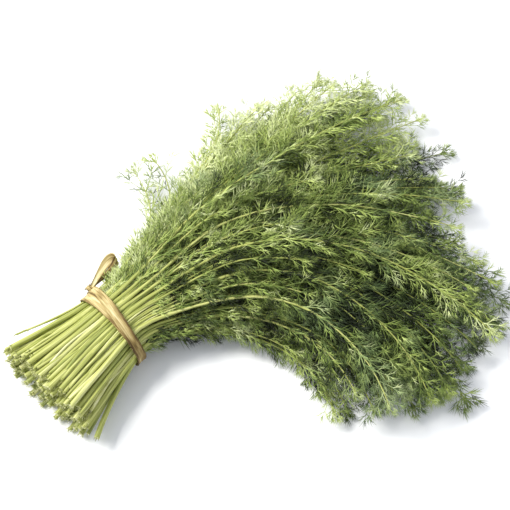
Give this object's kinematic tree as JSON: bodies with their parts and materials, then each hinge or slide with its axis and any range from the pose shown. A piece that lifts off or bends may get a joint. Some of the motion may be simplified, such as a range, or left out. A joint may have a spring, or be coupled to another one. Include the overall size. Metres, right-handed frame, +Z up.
{
  "type": "dill bunch",
  "caption": "Fresh dill bunch lying on its side: slim leafy stems with feathery thread leaflets, squeezed by a raffia tie and fanning out in a bend to the tips.",
  "frame": {"origin": "on the surface that the bunch lies on, under the middle of its bounding box", "axes": "+X from the cut ends towards the tips, +Y to the left of the bunch seen from above with the tips ahead, +Z up from the surface"},
  "size_m": [0.3638, 0.303, 0.0768],
  "materials": {
    "dill": "fresh herb tissue: satin green stems and leaflets, paler and yellower at the cut ends",
    "raffia": "dry palm-leaf strip: matt straw tan with fine fibres along it"
  },
  "bodies": {
    "root": {"raffia_tie": "raffia", "leafy_stems_01": "dill", "leafy_stems_02": "dill", "leafy_stems_03": "dill", "leafy_stems_04": "dill", "leafy_stems_05": "dill", "leafy_stems_06": "dill", "leafy_stems_07": "dill", "leafy_stems_08": "dill", "leafy_stems_09": "dill", "leafy_stems_10": "dill", "leafy_stems_11": "dill", "leafy_stems_12": "dill", "leafy_stems_13": "dill", "leafy_stems_14": "dill", "leafy_stems_15": "dill", "leafy_stems_16": "dill", "leafy_stems_17": "dill", "leafy_stems_18": "dill", "leafy_stems_19": "dill", "leafy_stems_20": "dill", "leafy_stems_21": "dill", "leafy_stems_22": "dill", "leafy_stems_23": "dill", "leafy_stems_24": "dill", "leafy_stems_25": "dill", "leafy_stems_26": "dill", "leafy_stems_27": "dill", "leafy_stems_28": "dill", "leafy_stems_29": "dill", "leafy_stems_30": "dill", "leafy_stems_31": "dill", "leafy_stems_32": "dill", "leafy_stems_33": "dill", "leafy_stems_34": "dill", "leafy_stems_35": "dill", "leafy_stems_36": "dill", "leafy_stems_37": "dill", "leafy_stems_38": "dill", "leafy_stems_39": "dill", "leafy_stems_40": "dill", "leafy_stems_41": "dill", "leafy_stems_42": "dill", "leafy_stems_43": "dill", "leafy_stems_44": "dill", "leafy_stems_45": "dill", "leafy_stems_46": "dill", "leafy_stems_47": "dill", "leafy_stems_48": "dill", "leafy_stems_49": "dill", "leafy_stems_50": "dill", "leafy_stems_51": "dill", "leafy_stems_52": "dill", "leafy_stems_53": "dill", "leafy_stems_54": "dill"}
  },
  "joints": []
}
